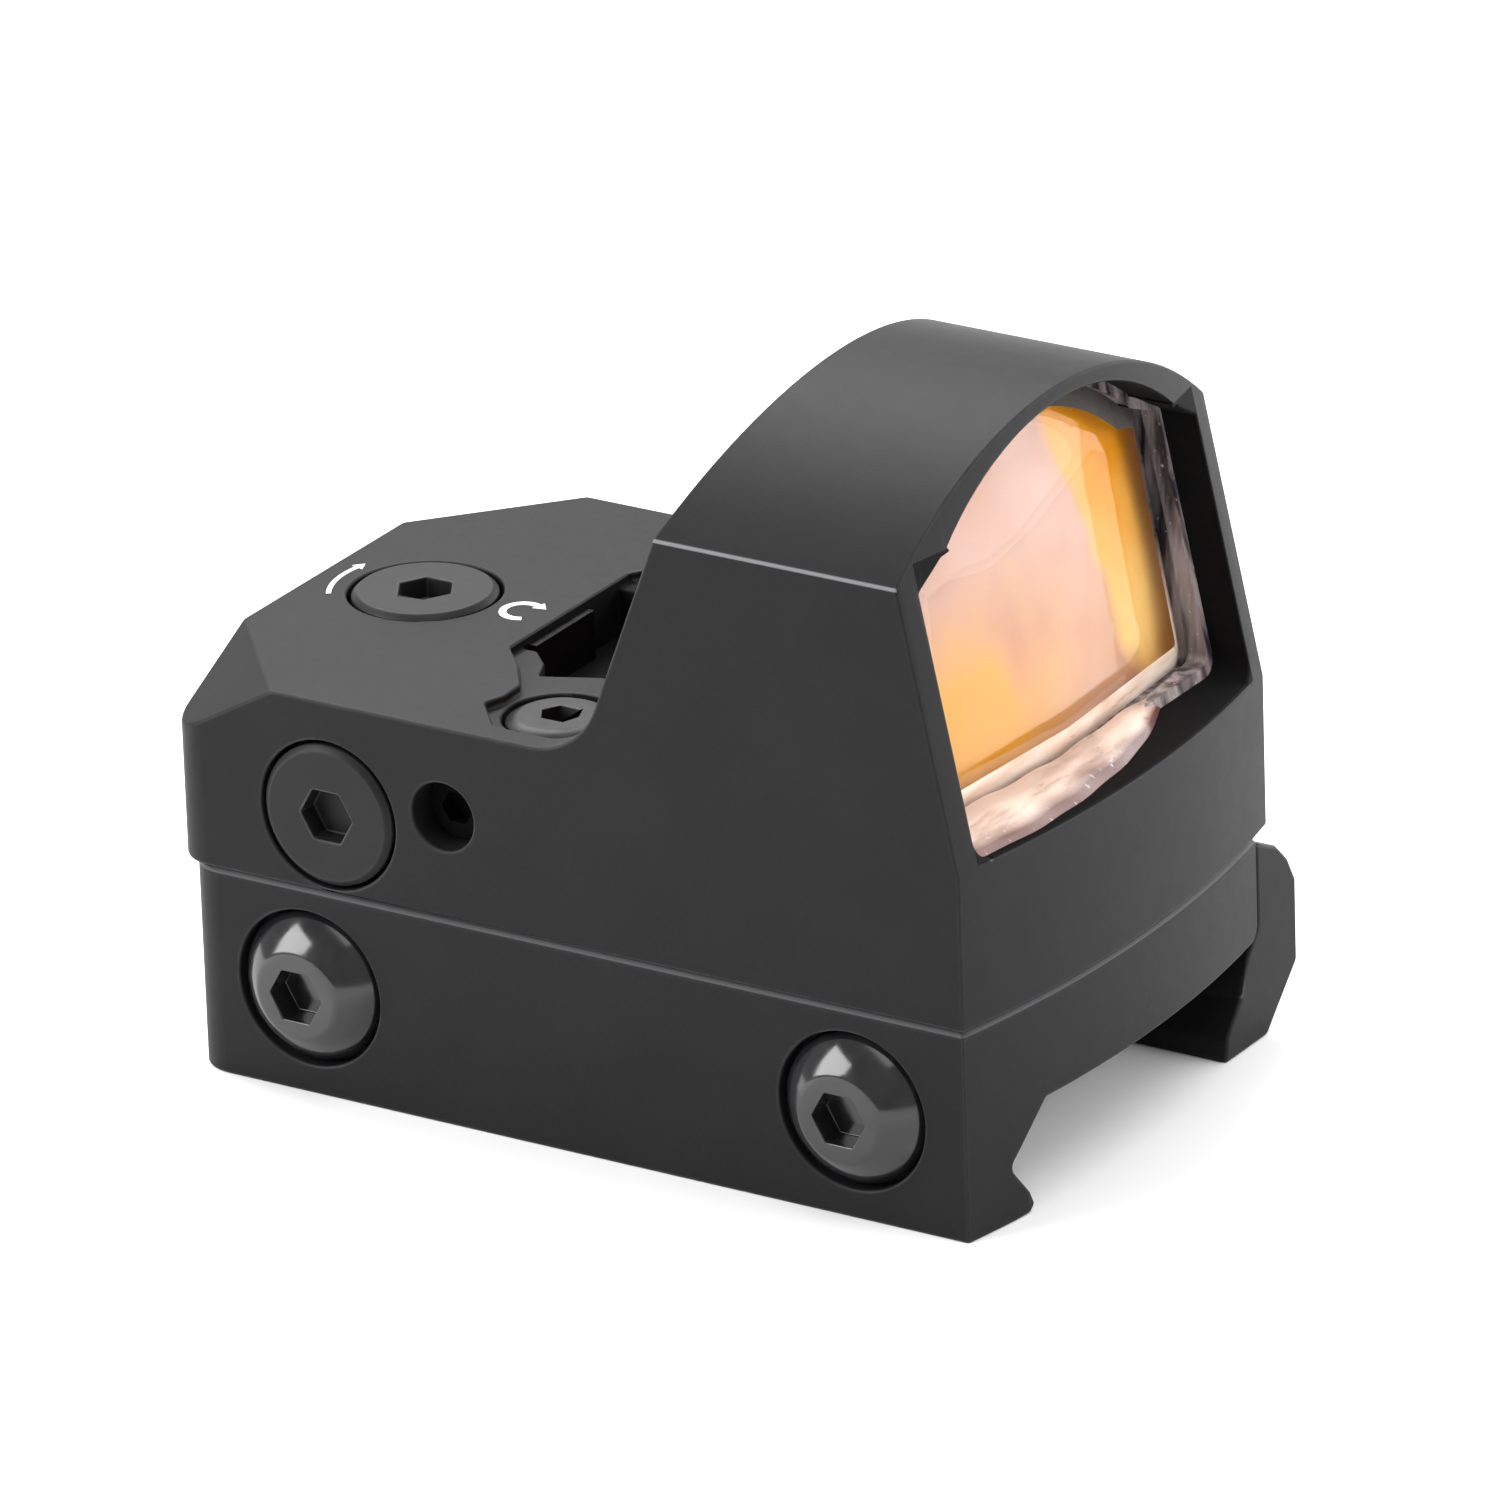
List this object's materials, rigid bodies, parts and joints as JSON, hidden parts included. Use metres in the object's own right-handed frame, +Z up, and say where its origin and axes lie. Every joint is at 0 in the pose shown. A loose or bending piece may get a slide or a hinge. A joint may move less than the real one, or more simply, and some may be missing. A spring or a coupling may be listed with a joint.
{
  "type": "red dot finder",
  "caption": "Compact open reflex sight with a hooded coated lens, recessed windage and elevation discs, and a side clamp for an accessory rail.",
  "frame": {"origin": "on the rail seat, midway between the two clamp screws and in the middle plane of rail and body", "axes": "+X along the line of sight towards the target, +Z up away from the rail, -Y to the windage side where the clamp screws' heads are"},
  "size_m": [0.0452, 0.0316, 0.0372],
  "materials": {
    "anodised_body": "matt black anodised",
    "anodised_base": "matt black anodised",
    "anodised_jaw": "matt black anodised",
    "black_oxide_steel": "glossy black oxide",
    "plain_steel": "satin",
    "dark_steel": "satin grey phosphate",
    "seal_rubber": "matt",
    "adjuster_black": "satin black anodised",
    "slide_brass": "machined",
    "emitter_plastic": "matt",
    "led": "clear red",
    "dark_window": "dark filter",
    "cell_can": "satin",
    "pad_foam": "foam",
    "contact_brass": "bright",
    "board_green": "solder mask",
    "chip_plastic": "matt",
    "flex_film": "film",
    "lens_glass": "polished",
    "lens_glass_coated": "partly reflecting coating",
    "bead_sealant": "satin grey bead",
    "white_paint": "white print"
  },
  "bodies": {
    "sight": {"housing": "anodised_body", "mount_base": "anodised_base", "mounting_screws": "dark_steel", "locating_pins": "plain_steel", "base_seal": "seal_rubber", "elevation_oring": "seal_rubber", "elevation_clip": "plain_steel", "windage_oring": "seal_rubber", "windage_clip": "plain_steel", "emitter_window": "dark_window", "battery": "cell_can", "battery_pad": "pad_foam", "battery_spring_contact": "contact_brass", "battery_side_contact": "contact_brass", "circuit_board": "board_green", "board_components": "chip_plastic", "emitter_flex": "flex_film", "lens_front": "lens_glass", "lens_rear": "lens_glass_coated", "lens_seal": "bead_sealant", "index_marks": "white_paint", "lift_spring": "plain_steel", "windage_spring": "plain_steel"},
    "jaw": {"clamp_jaw": "anodised_jaw"},
    "front_clamp_screw": {"clamp_screw_front": "black_oxide_steel"},
    "rear_clamp_screw": {"clamp_screw_rear": "black_oxide_steel"},
    "elevation_adjuster": {"elevation_screw": "adjuster_black"},
    "lift": {"lift_slide": "slide_brass"},
    "windage_adjuster": {"windage_screw": "adjuster_black"},
    "traverse": {"windage_slide": "slide_brass"},
    "emitter": {"emitter_block": "emitter_plastic", "led_chip": "led", "pinhole_plate": "plain_steel"},
    "lock": {"windage_lock_screw": "black_oxide_steel"}
  },
  "joints": [
    {"name": "clamp_screw_front_turn", "type": "hinge", "parent": "sight", "child": "front_clamp_screw", "pos_m": [0.01502, 0, 0], "axis": [0, -1, 0], "range_deg": [0, 1080.01]},
    {"name": "clamp_screw_rear_turn", "type": "hinge", "parent": "sight", "child": "rear_clamp_screw", "pos_m": [-0.01502, 0, 0], "axis": [0, -1, 0], "range_deg": [0, 1080.01]},
    {"name": "jaw_slide", "type": "slide", "parent": "sight", "child": "jaw", "axis": [0, 1, 0], "range_m": [0, 0.0021]},
    {"name": "elevation_turn", "type": "hinge", "parent": "sight", "child": "elevation_adjuster", "pos_m": [-0.0168, 0, 0], "axis": [0, 0, 1], "range_deg": [-540.01, 540.01]},
    {"name": "lift_travel", "type": "slide", "parent": "sight", "child": "lift", "axis": [0, 0, 1], "range_m": [-0.00052, 0.00052], "deforming": ["lift_spring"]},
    {"name": "windage_turn", "type": "hinge", "parent": "sight", "child": "windage_adjuster", "pos_m": [-0.0135, 0, 0.00915], "axis": [0, 1, 0], "range_deg": [-540.01, 540.01]},
    {"name": "traverse_travel", "type": "slide", "parent": "sight", "child": "traverse", "axis": [0, 1, 0], "range_m": [-0.00052, 0.00052], "deforming": ["windage_spring"]},
    {"name": "emitter_travel", "type": "slide", "parent": "lift", "child": "emitter", "axis": [0, 1, 0], "range_m": [-0.00052, 0.00052]},
    {"name": "lock_screw_turn", "type": "hinge", "parent": "sight", "child": "lock", "pos_m": [-0.00705, 0, 0.01035], "axis": [0, -1, 0], "range_deg": [0, 360]}
  ],
  "couplings": [
    {"joint": "clamp_screw_front_turn", "follows": "jaw_slide", "rad_per_m": 8976},
    {"joint": "clamp_screw_rear_turn", "follows": "jaw_slide", "rad_per_m": 8976},
    {"joint": "elevation_turn", "follows": "lift_travel", "rad_per_m": 17952},
    {"joint": "windage_turn", "follows": "traverse_travel", "rad_per_m": 17952},
    {"joint": "emitter_travel", "follows": "traverse_travel", "ratio": 1}
  ]
}
